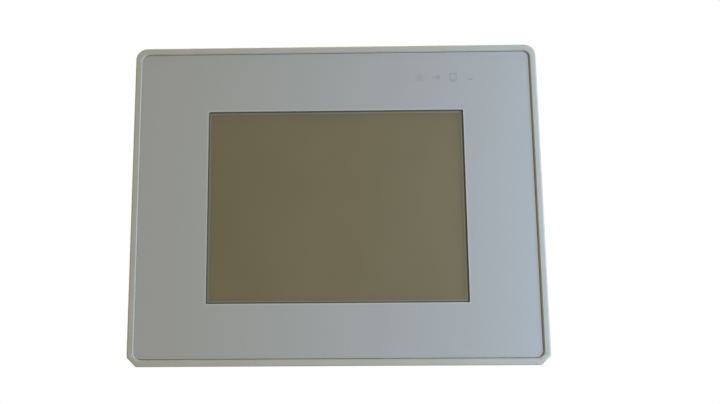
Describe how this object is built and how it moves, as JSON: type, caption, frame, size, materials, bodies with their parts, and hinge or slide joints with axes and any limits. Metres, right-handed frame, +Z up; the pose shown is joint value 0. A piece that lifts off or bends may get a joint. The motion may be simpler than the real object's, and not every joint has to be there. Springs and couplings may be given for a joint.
{
  "type": "hmi touch panel",
  "caption": "Panel-mounted operator terminal with a resistive touch display, a raised faceplate, a rear housing with ports and a service flap, and screw clamps that hold it in a door cut-out.",
  "frame": {"origin": "centre of the faceplate and of the cut-out, on the plane of the faceplate's rear face", "axes": "+X to the operator's right along the faceplate's long side, +Z up, +Y from the operator into the cabinet, so the display faces -Y"},
  "size_m": [0.1904, 0.0553, 0.147],
  "materials": {
    "bezel_plastic": "moulded ABS blend, fine spark texture, light grey",
    "overlay_film": "printed polyester film, satin, grey-blue",
    "touch_glass": "resistive touch glass with an anti-glare hard coat",
    "display_cell": "unlit display cell behind its polariser, dark olive",
    "housing_plastic": "moulded flame-retardant plastic, fine texture, dark grey",
    "seal_rubber": "black closed-cell rubber",
    "zinc_steel": "zinc-plated sheet steel",
    "connector_shell": "tin-plated steel shell",
    "screw_steel": "zinc-plated steel",
    "circuit_board": "glass-epoxy laminate with green solder mask",
    "black_plastic": "black moulded plastic",
    "aluminium": "satin anodised",
    "cell_steel": "brushed stainless can of a coin cell",
    "terminal_plastic": "green moulded polyamide",
    "white_plastic": "white moulded plastic",
    "light_guide_plastic": "clear moulded acrylic",
    "flex_film": "amber polyimide flat cable",
    "switch_plastic": "red moulded plastic"
  },
  "bodies": {
    "terminal": {"backlight_lamp": "light_guide_plastic", "backup_battery": "cell_steel", "battery_holder": "black_plastic", "card_socket": "black_plastic", "chassis_plate": "zinc_steel", "clamp_bracket_1": "zinc_steel", "clamp_bracket_2": "zinc_steel", "clamp_bracket_3": "zinc_steel", "clamp_bracket_4": "zinc_steel", "cover_screw_1": "screw_steel", "cover_screw_2": "screw_steel", "cover_screw_3": "screw_steel", "cover_screw_4": "screw_steel", "display_flex": "flex_film", "display_gasket": "seal_rubber", "flap_hinge_pin": "screw_steel", "front_bezel": "bezel_plastic", "front_overlay": "overlay_film", "heat_sink": "aluminium", "indicator_board": "circuit_board", "indicator_light_guide": "light_guide_plastic", "inverter_board": "circuit_board", "lcd_backlight": "white_plastic", "lcd_frame": "zinc_steel", "lcd_glass": "display_cell", "main_board": "circuit_board", "network_port": "connector_shell", "option_switches": "switch_plastic", "panel_gasket": "seal_rubber", "power_socket": "terminal_plastic", "processor": "black_plastic", "rating_plate": "aluminium", "rear_cover": "housing_plastic", "reset_switch": "black_plastic", "serial_port_15": "connector_shell", "serial_port_9": "connector_shell", "service_board": "circuit_board", "touch_flex": "flex_film", "touch_screen": "touch_glass", "usb_port": "connector_shell"},
    "clamp_foot_1": {"clamp_foot_1": "seal_rubber"},
    "clamp_screw_1": {"clamp_screw_1": "screw_steel"},
    "clamp_foot_2": {"clamp_foot_2": "seal_rubber"},
    "clamp_screw_2": {"clamp_screw_2": "screw_steel"},
    "clamp_foot_3": {"clamp_foot_3": "seal_rubber"},
    "clamp_screw_3": {"clamp_screw_3": "screw_steel"},
    "clamp_foot_4": {"clamp_foot_4": "seal_rubber"},
    "clamp_screw_4": {"clamp_screw_4": "screw_steel"},
    "power_plug": {"power_plug": "terminal_plastic"},
    "terminal_screw_1": {"terminal_screw_1": "screw_steel"},
    "terminal_screw_2": {"terminal_screw_2": "screw_steel"},
    "terminal_screw_3": {"terminal_screw_3": "screw_steel"},
    "earth_screw": {"earth_screw": "screw_steel"},
    "service_flap": {"service_flap": "housing_plastic"},
    "reset_button": {"reset_button": "switch_plastic"},
    "option_slider_1": {"option_slider_1": "white_plastic"},
    "option_slider_2": {"option_slider_2": "white_plastic"},
    "option_slider_3": {"option_slider_3": "white_plastic"},
    "option_slider_4": {"option_slider_4": "white_plastic"},
    "memory_card": {"memory_card": "black_plastic"}
  },
  "joints": [
    {"name": "clamp_travel_1", "type": "slide", "parent": "terminal", "child": "clamp_foot_1", "axis": [0, -1, 0], "range_m": [0, 0.007]},
    {"name": "clamp_turn_1", "type": "hinge", "parent": "clamp_foot_1", "child": "clamp_screw_1", "pos_m": [-0.091, 0.0464, 0.042], "axis": [0, -1, 0], "range_deg": [0, 3600]},
    {"name": "clamp_travel_2", "type": "slide", "parent": "terminal", "child": "clamp_foot_2", "axis": [0, -1, 0], "range_m": [0, 0.007]},
    {"name": "clamp_turn_2", "type": "hinge", "parent": "clamp_foot_2", "child": "clamp_screw_2", "pos_m": [0.091, 0.0464, 0.042], "axis": [0, -1, 0], "range_deg": [0, 3600]},
    {"name": "clamp_travel_3", "type": "slide", "parent": "terminal", "child": "clamp_foot_3", "axis": [0, -1, 0], "range_m": [0, 0.007]},
    {"name": "clamp_turn_3", "type": "hinge", "parent": "clamp_foot_3", "child": "clamp_screw_3", "pos_m": [-0.091, 0.0464, -0.036], "axis": [0, -1, 0], "range_deg": [0, 3600]},
    {"name": "clamp_travel_4", "type": "slide", "parent": "terminal", "child": "clamp_foot_4", "axis": [0, -1, 0], "range_m": [0, 0.007]},
    {"name": "clamp_turn_4", "type": "hinge", "parent": "clamp_foot_4", "child": "clamp_screw_4", "pos_m": [0.091, 0.0464, -0.036], "axis": [0, -1, 0], "range_deg": [0, 3600]},
    {"name": "power_plug_pull", "type": "slide", "parent": "terminal", "child": "power_plug", "axis": [0, 0, -1], "range_m": [0, 0.0125]},
    {"name": "terminal_turn_1", "type": "hinge", "parent": "power_plug", "child": "terminal_screw_1", "pos_m": [-0.06908, 0.0316, -0.06], "axis": [0, 1, 0], "range_deg": [0, 720]},
    {"name": "terminal_turn_2", "type": "hinge", "parent": "power_plug", "child": "terminal_screw_2", "pos_m": [-0.064, 0.0316, -0.06], "axis": [0, 1, 0], "range_deg": [0, 720]},
    {"name": "terminal_turn_3", "type": "hinge", "parent": "power_plug", "child": "terminal_screw_3", "pos_m": [-0.05892, 0.0316, -0.06], "axis": [0, 1, 0], "range_deg": [0, 720]},
    {"name": "earth_turn", "type": "hinge", "parent": "terminal", "child": "earth_screw", "pos_m": [0.0685, 0.0252, -0.0538], "axis": [0, 0, -1], "range_deg": [0, 720]},
    {"name": "flap_hinge", "type": "hinge", "parent": "terminal", "child": "service_flap", "pos_m": [-0.043, 0.0488, 0.0466], "axis": [1, 0, 0], "range_deg": [0, 115]},
    {"name": "reset_press", "type": "slide", "parent": "terminal", "child": "reset_button", "axis": [0, -1, 0], "range_m": [0, 0.0005], "stiffness_N_per_m": 1200, "springref_m": -0.0005},
    {"name": "option_slide_1", "type": "slide", "parent": "terminal", "child": "option_slider_1", "axis": [0, 0, -1], "range_m": [0, 0.0018]},
    {"name": "option_slide_2", "type": "slide", "parent": "terminal", "child": "option_slider_2", "axis": [0, 0, 1], "range_m": [0, 0.0018]},
    {"name": "option_slide_3", "type": "slide", "parent": "terminal", "child": "option_slider_3", "axis": [0, 0, -1], "range_m": [0, 0.0018]},
    {"name": "option_slide_4", "type": "slide", "parent": "terminal", "child": "option_slider_4", "axis": [0, 0, 1], "range_m": [0, 0.0018]},
    {"name": "memory_card_pull", "type": "slide", "parent": "terminal", "child": "memory_card", "axis": [1, 0, 0], "range_m": [0, 0.03]}
  ],
  "couplings": [
    {"joint": "clamp_turn_1", "follows": "clamp_travel_1", "rad_per_m": 8976},
    {"joint": "clamp_turn_2", "follows": "clamp_travel_2", "rad_per_m": 8976},
    {"joint": "clamp_turn_3", "follows": "clamp_travel_3", "rad_per_m": 8976},
    {"joint": "clamp_turn_4", "follows": "clamp_travel_4", "rad_per_m": 8976}
  ]
}
